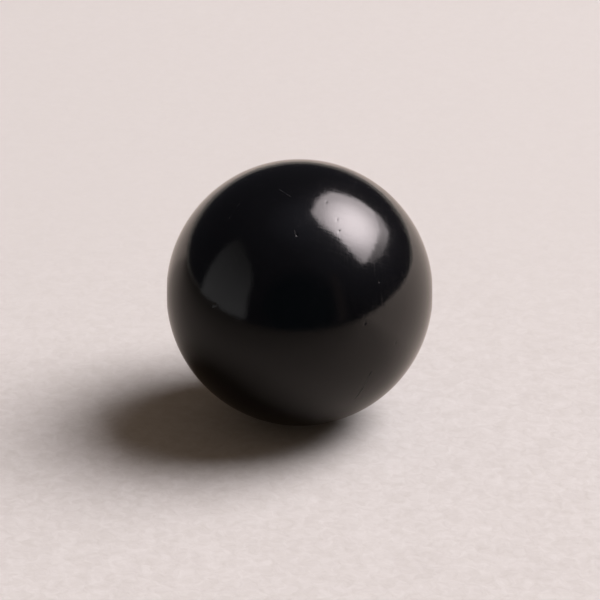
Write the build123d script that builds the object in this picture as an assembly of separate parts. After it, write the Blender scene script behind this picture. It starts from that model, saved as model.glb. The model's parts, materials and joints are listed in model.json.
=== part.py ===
from build123d import *
import math
import os

# A round stone bead, ground and polished to a ball, and drilled right through for its cord.
# The origin is the centre of the ball, and the hole runs along X. Sizes are in millimetres.

bead_diameter = 10.0
hole_diameter = 1.0
mouth_rounding = 0.1  # radius that polishing leaves where the hole meets the ball

ball_radius = bead_diameter / 2
hole_radius = hole_diameter / 2

# A mouth's rounding touches both the hole's wall and the inside of the ball's surface,
# so its centre lies one rounding away from each of them.
mouth_centre_height = hole_radius + mouth_rounding
mouth_centre_x = math.sqrt((ball_radius - mouth_rounding) ** 2 - mouth_centre_height**2)

# Angle at the ball's centre, up from the hole's axis, at which the ball turns into a mouth.
mouth_angle = math.degrees(math.atan2(mouth_centre_height, mouth_centre_x))


def bead_half_section():
    """Half of the bead's section along the hole: ball, two rounded mouths and the hole's wall."""
    ball = CenterArc((0, 0), ball_radius, mouth_angle, 180 - 2 * mouth_angle)
    right_mouth = CenterArc((mouth_centre_x, mouth_centre_height), mouth_rounding, -90, 90 + mouth_angle)
    left_mouth = mirror(right_mouth, about=Plane.YZ)
    wall = Line((-mouth_centre_x, hole_radius), (mouth_centre_x, hole_radius))
    return make_face([wall, right_mouth, ball, left_mouth])


def make_bead():
    """The whole bead: its half section turned once round the hole's axis."""
    return revolve(bead_half_section(), axis=Axis.X)


os.makedirs("parts", exist_ok=True)
export_step(make_bead(), "parts/bead.step")

print("bead diameter", bead_diameter, "mm")
print("hole wall, radius", hole_radius, "mm, length", round(2 * mouth_centre_x, 4), "mm")
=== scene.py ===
import bpy
import bmesh
import json
import math
import random
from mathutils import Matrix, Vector


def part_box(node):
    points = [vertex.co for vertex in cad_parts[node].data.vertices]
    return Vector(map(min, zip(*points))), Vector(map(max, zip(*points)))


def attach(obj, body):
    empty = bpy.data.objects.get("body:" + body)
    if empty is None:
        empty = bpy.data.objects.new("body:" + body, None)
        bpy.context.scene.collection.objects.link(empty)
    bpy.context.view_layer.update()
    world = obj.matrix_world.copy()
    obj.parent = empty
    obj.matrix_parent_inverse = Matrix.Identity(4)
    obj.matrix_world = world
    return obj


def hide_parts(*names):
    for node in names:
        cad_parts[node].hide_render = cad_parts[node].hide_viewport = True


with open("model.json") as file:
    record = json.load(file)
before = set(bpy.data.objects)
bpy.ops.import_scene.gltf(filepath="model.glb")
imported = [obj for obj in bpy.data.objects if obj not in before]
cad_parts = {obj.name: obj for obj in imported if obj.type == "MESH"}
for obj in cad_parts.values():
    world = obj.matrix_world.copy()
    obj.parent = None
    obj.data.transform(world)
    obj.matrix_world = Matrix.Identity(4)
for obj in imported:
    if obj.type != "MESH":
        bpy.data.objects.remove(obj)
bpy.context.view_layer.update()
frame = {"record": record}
bpy.ops.object.select_all(action="DESELECT")
print("stage: frame loaded")

mm = 0.001
beadLow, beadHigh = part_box("bead")
ballRadius = (beadHigh.z - beadLow.z) / 2
hole = next(m for m in frame["record"]["mounts"] if m["name"] == "string_hole")
holeRadius = hole["dims"]["r_mm"] * mm
wallHalf = hole["dims"]["length_mm"] * mm / 2
# the rounding of a mouth touches the hole's wall and the inside of the ball
mouthRound = (ballRadius**2 - wallHalf**2 - holeRadius**2) / (2 * (ballRadius + holeRadius))


def skyDirection(azimuth, elevation):
    # azimuth turns from straight behind the bead (+Y) towards +X, both in degrees
    a, e = math.radians(azimuth), math.radians(elevation)
    return Vector((math.cos(e) * math.sin(a), math.cos(e) * math.cos(a), math.sin(e)))


# ---- camera

cameraSetup = {
    "elevation": 25.6,
    "distance": 160 * mm,
    "lens": 255.9,
    "sensor": 36,
    "near": 1 * mm, "far": 5,
    "aim": Vector((0.0165, 0.0, -0.3165)) * mm,   # just under the bead's centre
}


def addCamera():
    back = skyDirection(180, cameraSetup["elevation"])
    aim = cameraSetup["aim"]
    bpy.ops.object.camera_add(location=aim + back * cameraSetup["distance"])
    camera = bpy.context.object
    camera.name = "camera"
    camera.rotation_mode = "QUATERNION"
    camera.rotation_quaternion = (-back).to_track_quat("-Z", "Y")
    camera.data.lens = cameraSetup["lens"]
    camera.data.sensor_width = cameraSetup["sensor"]
    camera.data.clip_start = cameraSetup["near"]
    camera.data.clip_end = cameraSetup["far"]
    bpy.context.scene.camera = camera


# ---- material helpers

def newMaterial(name):
    material = bpy.data.materials.new(name)
    material.use_nodes = True
    material.node_tree.nodes.clear()
    return material, material.node_tree


def node(tree, kind, inputs=None, **settings):
    made = tree.nodes.new(kind)
    for key, value in settings.items():
        setattr(made, key, value)
    for key, value in (inputs or {}).items():
        if isinstance(value, bpy.types.NodeSocket):
            tree.links.new(value, made.inputs[key])
        else:
            made.inputs[key].default_value = value
    return made


def placeInMm(tree):
    metres = node(tree, "ShaderNodeTexCoord").outputs["Object"]
    return node(tree, "ShaderNodeVectorMath", {0: metres, "Scale": 1 / mm}, operation="SCALE").outputs[0]


# ---- the bead

beadShape = {
    "around": 320,       # faces round the hole
    "rings": 230,        # rings of the whole ball, pole to pole
    "mouthSteps": 9,     # rings in each rounded mouth
    "wallCuts": 40,      # rings along the hole
    "poleCut": 1.04,     # the poles are cut off this much wider than the mouths begin
    "weld": 0.0005 * mm,
}


def startEdit(piece):
    bpy.ops.object.select_all(action="DESELECT")
    piece.select_set(True)
    bpy.context.view_layer.objects.active = piece
    bpy.ops.object.mode_set(mode="EDIT")
    bpy.ops.mesh.select_mode(type="VERT")
    bpy.ops.mesh.select_all(action="DESELECT")
    return bmesh.from_edit_mesh(piece.data)


def endEdit():
    bpy.ops.object.mode_set(mode="OBJECT")


def cutPoles(piece):
    # the ends of the ball, where the hole comes out
    cutAngle = math.asin((holeRadius + mouthRound) / (ballRadius - mouthRound)) * beadShape["poleCut"]
    mesh = startEdit(piece)
    for vert in mesh.verts:
        vert.select = abs(vert.co.x) > ballRadius * math.cos(cutAngle)
    mesh.select_flush(True)
    bmesh.update_edit_mesh(piece.data)
    bpy.ops.mesh.delete(type="VERT")
    endEdit()


def mouthRings(rimX, rimRadius):
    # from the cut edge of the ball, round the mouth and into the hole's wall
    centreX, centreRadius = wallHalf, holeRadius + mouthRound
    startAngle = math.atan2(centreRadius, centreX)
    rings = [(rimX, rimRadius)]
    for step in range(beadShape["mouthSteps"] + 1):
        share = step / beadShape["mouthSteps"]
        angle = startAngle - share * (startAngle + math.pi / 2)
        rings.append((centreX + mouthRound * math.cos(angle), centreRadius + mouthRound * math.sin(angle)))
    return rings


def turnMouth(piece, side):
    mesh = startEdit(piece)
    rim = [edge for edge in mesh.edges if edge.is_boundary and edge.verts[0].co.x * side > 0]
    for edge in rim:
        edge.select = True
    rimX = abs(rim[0].verts[0].co.x)
    rimRadius = math.hypot(rim[0].verts[0].co.y, rim[0].verts[0].co.z)
    mesh.select_flush(True)
    bmesh.update_edit_mesh(piece.data)
    rings = mouthRings(rimX, rimRadius)
    for (x0, r0), (x1, r1) in zip(rings, rings[1:]):
        bpy.ops.mesh.extrude_region_move(TRANSFORM_OT_translate={"value": (side * (x1 - x0), 0, 0)})
        bpy.ops.transform.resize(value=(1, r1 / r0, r1 / r0), center_override=(side * x1, 0, 0))
    endEdit()


def drillHole(piece):
    mesh = startEdit(piece)
    for edge in mesh.edges:
        if edge.is_boundary:
            edge.select = True
    mesh.select_flush(True)
    bmesh.update_edit_mesh(piece.data)
    bpy.ops.mesh.bridge_edge_loops(number_cuts=beadShape["wallCuts"])
    bpy.ops.mesh.select_all(action="SELECT")
    bpy.ops.mesh.remove_doubles(threshold=beadShape["weld"])
    bpy.ops.mesh.normals_make_consistent(inside=False)
    endEdit()


beadPits = {
    "rim": 0.016 * mm,
    "deep": 0.016 * mm,
    "faint": 0.007 * mm,
    # (azimuth, elevation) of the ones in front; more are scattered behind
    "deepPlaces": [(-178.6, 49.5), (-139.9, 14.3), (150.8, 9.8), (135.0, -4.1), (139.8, 25.0)],
    "faintPlaces": [(-162.3, -7.0), (150.5, 55.7), (152.0, 66.0), (153.4, 50.5)],
    "scattered": 6,
    "seed": 11,
    "behind": (-90, 90),     # azimuths of the scattered ones
    "clearOfMouths": 0.95,   # they keep off the ball's ends, past this share of its radius
}


def scatteredPlaces():
    chance = random.Random(beadPits["seed"])
    places = []
    while len(places) < beadPits["scattered"]:
        place = (chance.uniform(*beadPits["behind"]), math.degrees(math.asin(chance.uniform(-1, 1))))
        if abs(skyDirection(*place).x) < beadPits["clearOfMouths"]:
            places.append(place)
    return places


def cutPits(piece, places, depth):
    # specks lost from the polished face
    startEdit(piece)
    bpy.ops.mesh.select_mode(type="FACE")
    mesh = bmesh.from_edit_mesh(piece.data)
    middles = [(face, face.calc_center_median()) for face in mesh.faces]
    for place in places:
        spot = skyDirection(*place) * ballRadius
        nearest = min(middles, key=lambda pair: (pair[1] - spot).length_squared)[0]
        nearest.select = True
    bmesh.update_edit_mesh(piece.data)
    bpy.ops.mesh.inset(thickness=beadPits["rim"], depth=-depth, use_individual=True)
    bpy.ops.mesh.select_mode(type="VERT")
    endEdit()


def makeBead():
    bpy.ops.mesh.primitive_uv_sphere_add(
        segments=beadShape["around"], ring_count=beadShape["rings"],
        radius=ballRadius, rotation=(0, math.pi / 2, 0))
    bead = bpy.context.object
    bead.name = "polished_bead"
    bpy.ops.object.transform_apply(location=True, rotation=True, scale=True)
    cutPoles(bead)
    for side in (1, -1):
        turnMouth(bead, side)
    drillHole(bead)
    scattered = scatteredPlaces()
    half = len(scattered) // 2
    cutPits(bead, beadPits["deepPlaces"] + scattered[:half], beadPits["deep"])
    cutPits(bead, beadPits["faintPlaces"] + scattered[half:], beadPits["faint"])
    bpy.ops.object.shade_smooth()
    return bead


# ---- the bead's stone

stoneLook = {
    "body": (0.0016, 0.0016, 0.0019, 1),
    "refraction": 1.54,
    "polish": 0.088,            # roughness of the clean face
    "haze": 0.045,              # thin film left by handling, which glows round bright things
    "hazeSpread": 0.32,
    "hairRoughness": 0.13,      # added along the finest hairlines
    "smudgeRoughness": 0.04,
    "smudges": 0.55, "smudgeRange": (0.45, 0.70),    # smudges to a millimetre, and how they stand out
    "waves": 3.0, "waveHeight": 0.0020 * mm,         # to a millimetre
    "fine": 9.0, "fineHeight": 0.0009 * mm,
    "hairRange": (0.58, 0.80),
    "hairHeight": 0.0010 * mm,
    # (azimuth, elevation) of the axes that the polishing marks go round, and how close they lie
    "polishingAxes": [((172, 18), 24), ((95, 4), 30), ((40, 60), 22)],
    "markRoughness": 0.75,
    "markCore": 0.3,            # a scratch is at its roughest within this share of its half width
    "drilledRoughness": 0.42,   # added on the hole's wall, which isn't polished
    "drilledRange": (0.4, 0.1),  # it fades in over these shares of the mouth's rounding
    # scratches: (azimuth, elevation) at both ends, and half width in mm
    "scratches": [((-176.6, 52.3), (-177.2, 50.6), 0.022), ((-177.2, 50.6), (-178.6, 49.5), 0.022),
                  ((149.6, -25.3), (147.0, -15.2), 0.030), ((151.5, -31.0), (149.6, -25.3), 0.022),
                  ((-125.1, 50.7), (-121.5, 58.7), 0.012), ((-169.0, 70.0), (-150.0, 73.0), 0.012)],
}


def hairlines(tree, place, axis, across):
    # long thin streaks that go round an axis
    along = node(tree, "ShaderNodeVectorMath", {0: place, 1: axis * across}, operation="DOT_PRODUCT")
    stretch = node(tree, "ShaderNodeVectorMath", {
        0: axis, "Scale": along.outputs["Value"]}, operation="SCALE")
    laid = node(tree, "ShaderNodeVectorMath", {0: place, 1: stretch.outputs[0]}, operation="ADD")
    noise = node(tree, "ShaderNodeTexNoise", {
        "Vector": laid.outputs[0], "Scale": 1.0, "Detail": 2.0, "Roughness": 0.6})
    return noise.outputs[0]


def scratchMask(tree, place, start, end, halfWidth):
    # 1 on the line between two points of the ball, 0 past its half width
    length = end - start
    fromStart = node(tree, "ShaderNodeVectorMath", {0: place, 1: start}, operation="SUBTRACT")
    along = node(tree, "ShaderNodeVectorMath", {
        0: fromStart.outputs[0], 1: length / length.length_squared}, operation="DOT_PRODUCT")
    share = node(tree, "ShaderNodeClamp", {"Value": along.outputs["Value"]})
    nearest = node(tree, "ShaderNodeVectorMath", {0: length, "Scale": share.outputs[0]}, operation="SCALE")
    away = node(tree, "ShaderNodeVectorMath", {
        0: fromStart.outputs[0], 1: nearest.outputs[0]}, operation="DISTANCE")
    mask = node(tree, "ShaderNodeMapRange", {
        "Value": away.outputs["Value"], "From Min": halfWidth, "From Max": halfWidth * stoneLook["markCore"]})
    return mask.outputs[0]


def makeStone():
    look = stoneLook
    material, tree = newMaterial("polishedBlackStone")
    place = placeInMm(tree)

    waves = node(tree, "ShaderNodeTexNoise", {"Vector": place, "Scale": look["waves"], "Detail": 2.0})
    bump = node(tree, "ShaderNodeBump", {"Height": waves.outputs[0], "Distance": look["waveHeight"]})
    fine = node(tree, "ShaderNodeTexNoise", {"Vector": place, "Scale": look["fine"], "Detail": 1.0})
    bump = node(tree, "ShaderNodeBump", {
        "Height": fine.outputs[0], "Distance": look["fineHeight"], "Normal": bump.outputs[0]})
    streaks = [hairlines(tree, place, skyDirection(*axis), across) for axis, across in look["polishingAxes"]]
    for streak in streaks:
        bump = node(tree, "ShaderNodeBump", {
            "Height": streak, "Distance": look["hairHeight"], "Normal": bump.outputs[0]})

    smudges = node(tree, "ShaderNodeTexNoise", {"Vector": place, "Scale": look["smudges"], "Detail": 3.0})
    smudge = node(tree, "ShaderNodeMapRange", {
        "Value": smudges.outputs[0], "From Min": look["smudgeRange"][0], "From Max": look["smudgeRange"][1],
        "To Max": look["smudgeRoughness"]})
    roughness = node(tree, "ShaderNodeMath", {0: smudge.outputs[0], 1: look["polish"]}, operation="ADD")
    for streak in streaks:
        thin = node(tree, "ShaderNodeMapRange", {
            "Value": streak, "From Min": look["hairRange"][0], "From Max": look["hairRange"][1]})
        roughness = node(tree, "ShaderNodeMath", {
            0: thin.outputs[0], 1: look["hairRoughness"], 2: roughness.outputs[0]}, operation="MULTIPLY_ADD")
    marks = None
    for start, end, halfWidth in look["scratches"]:
        startPlace = skyDirection(*start) * (ballRadius / mm)
        endPlace = skyDirection(*end) * (ballRadius / mm)
        mask = scratchMask(tree, place, startPlace, endPlace, halfWidth)
        if marks is not None:
            mask = node(tree, "ShaderNodeMath", {0: marks, 1: mask}, operation="MAXIMUM").outputs[0]
        marks = mask
    roughness = node(tree, "ShaderNodeMath", {
        0: marks, 1: look["markRoughness"], 2: roughness.outputs[0]}, operation="MULTIPLY_ADD")
    fromAxis = node(tree, "ShaderNodeVectorMath", {0: place, 1: (0, 1, 1)}, operation="MULTIPLY")
    fromAxis = node(tree, "ShaderNodeVectorMath", {0: fromAxis.outputs[0]}, operation="LENGTH")
    fadeStart, fadeEnd = ((holeRadius + mouthRound * share) / mm for share in look["drilledRange"])
    drilled = node(tree, "ShaderNodeMapRange", {
        "Value": fromAxis.outputs["Value"], "From Min": fadeStart, "From Max": fadeEnd,
        "To Max": look["drilledRoughness"]})
    roughness = node(tree, "ShaderNodeMath", {
        0: drilled.outputs[0], 1: roughness.outputs[0]}, operation="ADD")
    shader = node(tree, "ShaderNodeBsdfPrincipled", {
        "Base Color": look["body"],
        "Roughness": roughness.outputs[0],
        "IOR": look["refraction"],
        "Normal": bump.outputs[0],
        "Coat Weight": look["haze"],
        "Coat Roughness": look["hazeSpread"],
        "Coat IOR": look["refraction"],
    })
    node(tree, "ShaderNodeOutputMaterial", {"Surface": shader.outputs["BSDF"]})
    return material


# ---- floor, light and room

paperFloor = {
    "half": 0.5,
    "dark": (0.540, 0.540, 0.516, 1),
    "light": (0.660, 0.668, 0.651, 1),
    "mottle": 2.3,           # grains to a millimetre
    "contrast": 1.7,
    "fibreHeight": 0.012 * mm,
    # the grain is crisp in front of the bead and fades behind it
    "crispTo": -4 * mm, "fadedFrom": 22 * mm, "faded": 0.18,
}

# a copy of the paper that only the polish mirrors, with painted shade: darker towards the camera, brighter
# towards lightFrom
mirroredPaper = {
    "front": -47 * mm,       # its edge on the camera's side
    "left": -500 * mm, "right": 500 * mm, "back": 500 * mm,
    "lift": 0.01 * mm,       # above the floor
    "colour": (0.61, 0.575, 0.515, 1),
    "lightFrom": 38,         # azimuth of its brighter side
    # mm towards that side, and share of its colour left there by the painted shade
    "shares": [(-40, 0.14), (-18, 0.24), (-8, 0.36), (-2, 0.54), (2, 0.62), (6, 0.93), (30, 1.0)],
}

softbox = {
    "azimuth": 64, "elevation": 44, "distance": 0.9,
    # outlines, as shares of the distance: first to the right, then up
    "outline": [(-0.46, 0.20), (-0.32, 0.47), (-0.08, 0.70), (0.17, 0.66), (0.58, 0.25), (0.75, -0.02),
                (0.64, -0.11), (0.35, -0.17), (0.0, -0.26), (-0.28, -0.24), (-0.37, -0.08)],
    "hotSpot": (0.14, 0.15),
    # distance from the hot spot, as a share, and strength there
    "glow": [(0.0, 13.8), (0.15, 13.0), (0.25, 10.6), (0.35, 7.8), (0.45, 5.2), (0.7, 4.0)],
    "flap": [(0.64, -0.11), (0.60, -0.22), (0.35, -0.33), (-0.08, -0.41), (-0.26, -0.32), (-0.28, -0.24),
             (0.0, -0.26), (0.35, -0.17)],
    "flapHotSpot": (-0.05, -0.28),
    "flapGlow": [(0.0, 3.0), (0.15, 2.6), (0.30, 1.8), (0.45, 1.4), (0.8, 0.6)],
    "colour": (1.0, 0.90, 0.92, 1),
}

paperLight = {
    "azimuth": 73.5, "elevation": 50, "distance": 0.9,
    "outline": [(-0.392, -0.371), (0.392, -0.371), (0.392, 0.371), (-0.392, 0.371)],
    "hotSpot": (0, 0),
    "glow": [(0.0, 14.2), (0.15, 12.8), (0.27, 10.3), (0.39, 7.1), (0.53, 4.1)],
}

# glowing cards that only the polish mirrors, painted reflections of a card and a stand lit in the room;
# outlines are (azimuth, elevation)
leftCard = {
    "distance": 0.25,
    "outline": [(-134, -3), (-134, 25), (-131, 32), (-124, 38), (-112, 43), (-98, 45), (-89, 44),
                (-86.5, 36), (-87, -3)],
    "colour": (1.0, 0.98, 1.0, 1),
    # painted reflection: the card's glow changes up its height
    "glow": [(0.0, 0.37), (0.15, 0.36), (0.50, 0.26), (0.85, 0.15), (1.0, 0.10)],   # up it, and strength
}

# painted reflection of a brown stand, as a glowing strip
brownStand = {
    "azimuth": 144, "distance": 0.25,
    "halfWidth": 24 * mm, "low": -10 * mm, "high": 180 * mm,
    "colour": (1.0, 0.80, 0.80, 1),
    "strength": 0.11,
}


def curveNode(tree, value, points, top):
    curve = node(tree, "ShaderNodeFloatCurve", {"Value": value})
    places = curve.mapping.curves[0].points
    while len(places) < len(points):
        places.new(0.5, 0.5)
    for place, (at, height) in zip(places, points):
        place.location = (at, height / top)
        place.handle_type = "VECTOR"
    curve.mapping.update()
    scaled = node(tree, "ShaderNodeMath", {0: curve.outputs[0], 1: top}, operation="MULTIPLY")
    return scaled.outputs[0]


def addFloor():
    bpy.ops.mesh.primitive_plane_add(size=2 * paperFloor["half"], location=(0, 0, -ballRadius))
    floor = bpy.context.object
    floor.name = "paperFloor"
    bpy.ops.object.transform_apply(location=True, rotation=True, scale=True)
    look = paperFloor
    material, tree = newMaterial("palePaper")
    metres = node(tree, "ShaderNodeTexCoord").outputs["Object"]
    depth = node(tree, "ShaderNodeSeparateXYZ", {0: metres}).outputs["Y"]
    crisp = node(tree, "ShaderNodeMapRange", {
        "Value": depth, "From Min": look["crispTo"], "From Max": look["fadedFrom"],
        "To Min": 1.0, "To Max": look["faded"]}, interpolation_type="SMOOTHSTEP").outputs[0]
    grain = node(tree, "ShaderNodeTexNoise", {
        "Vector": placeInMm(tree), "Scale": look["mottle"], "Detail": 4.0, "Roughness": 0.62,
        "Distortion": 0.8}).outputs[0]
    centred = node(tree, "ShaderNodeMath", {0: grain, 1: 0.5}, operation="SUBTRACT")
    scaled = node(tree, "ShaderNodeMath", {0: centred.outputs[0], 1: look["contrast"]}, operation="MULTIPLY")
    mottle = node(tree, "ShaderNodeMath", {0: scaled.outputs[0], 1: crisp, 2: 0.5}, operation="MULTIPLY_ADD")
    colour = node(tree, "ShaderNodeMix", data_type="RGBA", blend_type="MIX")
    colour.inputs[6].default_value = look["dark"]
    colour.inputs[7].default_value = look["light"]
    tree.links.new(mottle.outputs[0], colour.inputs[0])
    bump = node(tree, "ShaderNodeBump", {
        "Height": grain, "Strength": crisp, "Distance": look["fibreHeight"]})
    shader = node(tree, "ShaderNodeBsdfDiffuse", {
        "Color": colour.outputs[2], "Normal": bump.outputs[0]})
    node(tree, "ShaderNodeOutputMaterial", {"Surface": shader.outputs[0]})
    floor.data.materials.append(material)
    floor.visible_glossy = False


def addMirroredPaper():
    # what the polished stone mirrors of the paper, which ends near the camera; its colour holds painted
    # shade, darker towards the camera side
    setup = mirroredPaper
    bpy.ops.mesh.primitive_plane_add(size=1, location=(0, 0, 0))
    sheet = bpy.context.object
    sheet.name = "mirroredPaper"
    sheet.scale = (setup["right"] - setup["left"], setup["back"] - setup["front"], 1)
    sheet.location = ((setup["right"] + setup["left"]) / 2, (setup["back"] + setup["front"]) / 2,
                      setup["lift"] - ballRadius)
    bpy.ops.object.transform_apply(location=True, rotation=True, scale=True)
    material, tree = newMaterial("mirroredPaperPaintedShade")
    place = node(tree, "ShaderNodeTexCoord").outputs["Object"]
    towards = skyDirection(setup["lightFrom"], 0) / mm
    along = node(tree, "ShaderNodeVectorMath", {0: place, 1: towards}, operation="DOT_PRODUCT")
    low, high = setup["shares"][0][0], setup["shares"][-1][0]
    share = node(tree, "ShaderNodeMapRange", {
        "Value": along.outputs["Value"], "From Min": low, "From Max": high})
    points = [((at - low) / (high - low), value) for at, value in setup["shares"]]
    # painted shade: the mirrored paper darkens towards the camera side
    paintedShade = curveNode(tree, share.outputs[0], points, 1.0)
    colour = node(tree, "ShaderNodeMix", data_type="RGBA", blend_type="MIX")
    colour.inputs[6].default_value = (0, 0, 0, 1)
    colour.inputs[7].default_value = setup["colour"]
    tree.links.new(paintedShade, colour.inputs[0])
    shader = node(tree, "ShaderNodeBsdfDiffuse", {"Color": colour.outputs[2]})
    node(tree, "ShaderNodeOutputMaterial", {"Surface": shader.outputs["BSDF"]})
    sheet.data.materials.append(material)
    onlyMirrored(sheet)


def onlyMirrored(piece):
    piece.visible_camera = False
    piece.visible_diffuse = False
    piece.visible_shadow = False


def facing(direction):
    # axes of a panel that faces the bead: to the right, and up
    right = Vector((direction.y, -direction.x, 0)).normalized()
    return right, right.cross(direction).normalized()


def addPanel(name, corners):
    # a flat card through these corners, with an empty material
    bpy.ops.mesh.primitive_circle_add(vertices=len(corners), radius=1, fill_type="NGON")
    panel = bpy.context.object
    panel.name = name
    for vert, corner in zip(panel.data.vertices, corners):
        vert.co = corner
    material, tree = newMaterial(name + "Look")
    panel.data.materials.append(material)
    return panel, tree


def addGlow(name, place, outline, hotSpot, glow, mirroredOnly):
    # a panel brightest at its hot spot, for the polish alone or for the paper alone
    direction = skyDirection(place["azimuth"], place["elevation"])
    right, up = facing(direction)
    reach = place["distance"]
    panel, tree = addPanel(name, [(direction + right * x + up * y) * reach for x, y in outline])
    brightest = (direction + right * hotSpot[0] + up * hotSpot[1]) * reach
    point = node(tree, "ShaderNodeTexCoord").outputs["Object"]
    away = node(tree, "ShaderNodeVectorMath", {0: point, 1: brightest}, operation="DISTANCE")
    share = node(tree, "ShaderNodeMath", {0: away.outputs["Value"], 1: reach}, operation="DIVIDE")
    strength = curveNode(tree, share.outputs[0], glow, glow[0][1])
    light = node(tree, "ShaderNodeEmission", {"Color": softbox["colour"], "Strength": strength})
    node(tree, "ShaderNodeOutputMaterial", {"Surface": light.outputs[0]})
    panel.visible_camera = False
    panel.visible_diffuse = not mirroredOnly
    panel.visible_glossy = mirroredOnly
    panel.visible_shadow = False


def addLeftCard():
    card = leftCard
    panel, tree = addPanel("leftCard", [skyDirection(*at) * card["distance"] for at in card["outline"]])
    heights = [vert.co.z for vert in panel.data.vertices]
    place = node(tree, "ShaderNodeTexCoord").outputs["Object"]
    height = node(tree, "ShaderNodeSeparateXYZ", {0: place}).outputs["Z"]
    share = node(tree, "ShaderNodeMapRange", {
        "Value": height, "From Min": min(heights), "From Max": max(heights)})
    # painted reflection: the card glows, and only the polish sees it
    strength = curveNode(tree, share.outputs[0], card["glow"], 1.0)
    light = node(tree, "ShaderNodeEmission", {"Color": card["colour"], "Strength": strength})
    node(tree, "ShaderNodeOutputMaterial", {"Surface": light.outputs[0]})
    onlyMirrored(panel)


def addBrownStand():
    card = brownStand
    direction = skyDirection(card["azimuth"], 0)
    right, up = facing(direction)
    middle = direction * card["distance"]
    corners = [(-1, "low"), (1, "low"), (1, "high"), (-1, "high")]
    panel, tree = addPanel("brownStand", [
        middle + right * side * card["halfWidth"] + up * card[end] for side, end in corners])
    place = node(tree, "ShaderNodeTexCoord").outputs["Object"]
    sideways = node(tree, "ShaderNodeVectorMath", {0: place, 1: right}, operation="DOT_PRODUCT")
    fromMiddle = node(tree, "ShaderNodeMath", {0: sideways.outputs["Value"]}, operation="ABSOLUTE")
    solid = node(tree, "ShaderNodeMapRange", {
        "Value": fromMiddle.outputs[0], "From Min": card["halfWidth"], "From Max": 0},
        interpolation_type="SMOOTHSTEP")
    # painted reflection of the brown stand: a glow that only the polish sees
    light = node(tree, "ShaderNodeEmission", {
        "Color": card["colour"], "Strength": card["strength"]})
    clear = node(tree, "ShaderNodeBsdfTransparent")
    mixed = node(tree, "ShaderNodeMixShader", {
        0: solid.outputs[0], 1: clear.outputs[0], 2: light.outputs[0]})
    node(tree, "ShaderNodeOutputMaterial", {"Surface": mixed.outputs[0]})
    onlyMirrored(panel)


roomLook = {
    "pale": (0.80, 0.77, 0.755, 1),          # behind the floor, as the camera sees it
    "fill": (0.137, 0.0997, 0.077, 1),        # soft light on the paper
    "wallTint": (0.94, 0.94, 1.17, 1),
    # height (0 level, 1 straight up) and strength of what the polish mirrors
    "walls": [(0.0, 0.034), (0.42, 0.038), (0.7, 0.048), (0.9, 0.065), (1.0, 0.130)],
    "rightBoost": 0.05,                      # added on the softbox's side, round boostAt
    "boostAt": (95, 50), "boostFrom": 0.55,  # (azimuth, elevation), and cosine where it begins
    "cameraSide": (0.014, 0.026, 0.034, 1),
    "cameraAt": (180, 12), "cameraRange": (0.80, 0.93),
    # painted reflection: the paper's rise behind glows in the sky that the polish mirrors
    "sweep": (0.36, 0.325, 0.30, 1),         # the paper, curving up behind
    "sweepRise": 0.115, "riseFalloff": 3.0,
    "sweepEnd": 2.0,                         # how steeply it falls away in front
    "sweepSoft": 0.012,                      # half width of its blurred top edge
}


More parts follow.
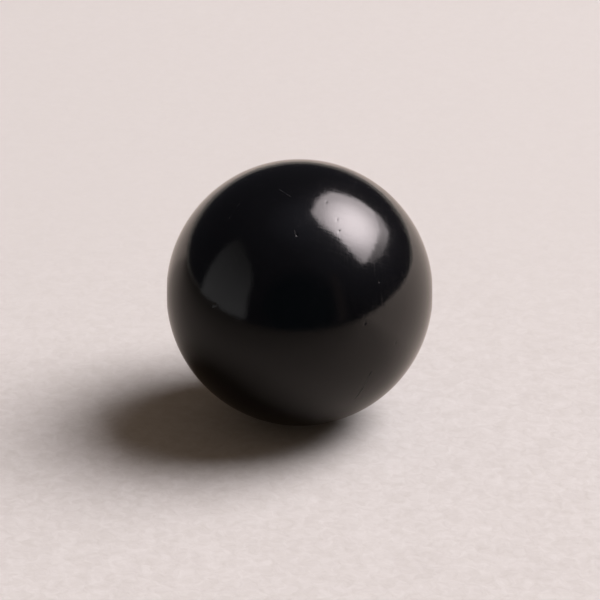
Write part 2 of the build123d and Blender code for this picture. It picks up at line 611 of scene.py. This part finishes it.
def addRoom():
    world = bpy.data.worlds.new("room")
    bpy.context.scene.world = world
    world.use_nodes = True
    tree = world.node_tree
    tree.nodes.clear()
    look = roomLook
    sky = node(tree, "ShaderNodeTexCoord").outputs["Generated"]
    parts = node(tree, "ShaderNodeSeparateXYZ", {0: sky})
    walls = curveNode(tree, parts.outputs["Z"], look["walls"], 1.0)
    toRight = node(tree, "ShaderNodeVectorMath", {0: sky, 1: skyDirection(*look["boostAt"])},
                   operation="DOT_PRODUCT").outputs["Value"]
    glow = node(tree, "ShaderNodeMapRange", {
        "Value": toRight, "From Min": look["boostFrom"], "From Max": 1.0, "To Max": look["rightBoost"]},
        interpolation_type="SMOOTHSTEP")
    strength = node(tree, "ShaderNodeMath", {0: walls, 1: glow.outputs[0]}, operation="ADD")
    wall = node(tree, "ShaderNodeBackground", {
        "Color": look["wallTint"], "Strength": strength.outputs[0]})
    cameraSide = node(tree, "ShaderNodeBackground", {"Color": look["cameraSide"]})
    toCamera = node(tree, "ShaderNodeVectorMath", {0: sky, 1: skyDirection(*look["cameraAt"])},
                    operation="DOT_PRODUCT").outputs["Value"]
    nearCamera = node(tree, "ShaderNodeMapRange", {
        "Value": toCamera, "From Min": look["cameraRange"][0], "From Max": look["cameraRange"][1]},
        interpolation_type="SMOOTHSTEP")
    mirrored = node(tree, "ShaderNodeMixShader", {
        0: nearCamera.outputs[0], 1: wall.outputs[0], 2: cameraSide.outputs[0]})
    # the paper's rise is highest straight behind, and nothing at the sides
    rise = node(tree, "ShaderNodeMath", {0: parts.outputs["Y"], 1: 0.0}, operation="MAXIMUM")
    rise = node(tree, "ShaderNodeMath", {0: rise.outputs[0], 1: look["riseFalloff"]}, operation="POWER")
    rise = node(tree, "ShaderNodeMath", {0: rise.outputs[0], 1: look["sweepRise"]}, operation="MULTIPLY")
    ending = node(tree, "ShaderNodeMath", {0: parts.outputs["Y"], 1: 0.0}, operation="MINIMUM")
    rise = node(tree, "ShaderNodeMath", {
        0: ending.outputs[0], 1: look["sweepEnd"], 2: rise.outputs[0]}, operation="MULTIPLY_ADD")
    above = node(tree, "ShaderNodeMath", {0: parts.outputs["Z"], 1: rise.outputs[0]}, operation="SUBTRACT")
    overPaper = node(tree, "ShaderNodeMapRange", {
        "Value": above.outputs[0], "From Min": -look["sweepSoft"], "From Max": look["sweepSoft"]})
    # painted reflection of the paper's rise, seen only by glossy rays
    paintedPaperReflection = node(tree, "ShaderNodeBackground", {"Color": look["sweep"]})
    mirrored = node(tree, "ShaderNodeMixShader", {
        0: overPaper.outputs[0], 1: paintedPaperReflection.outputs[0], 2: mirrored.outputs[0]})
    fill = node(tree, "ShaderNodeBackground", {"Color": look["fill"]})
    pale = node(tree, "ShaderNodeBackground", {"Color": look["pale"]})
    path = node(tree, "ShaderNodeLightPath")
    unlit = node(tree, "ShaderNodeMixShader", {
        0: path.outputs["Is Glossy Ray"], 1: fill.outputs[0], 2: mirrored.outputs[0]})
    mixed = node(tree, "ShaderNodeMixShader", {
        0: path.outputs["Is Camera Ray"], 1: unlit.outputs[0], 2: pale.outputs[0]})
    node(tree, "ShaderNodeOutputWorld", {"Surface": mixed.outputs[0]})


addCamera()
bead = makeBead()
bead.data.materials.append(makeStone())
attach(bead, "root")
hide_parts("bead")
print("stage: bead modelled,", len(bead.data.polygons), "faces")
addFloor()
addMirroredPaper()
addGlow("softbox", softbox, softbox["outline"], softbox["hotSpot"], softbox["glow"], True)
addGlow("softboxFlap", softbox, softbox["flap"], softbox["flapHotSpot"], softbox["flapGlow"], True)
addGlow("paperLight", paperLight, paperLight["outline"], paperLight["hotSpot"], paperLight["glow"], False)
addLeftCard()
addBrownStand()
addRoom()
bpy.context.scene.view_settings.view_transform = "Standard"
print("stage: floor, light and room")
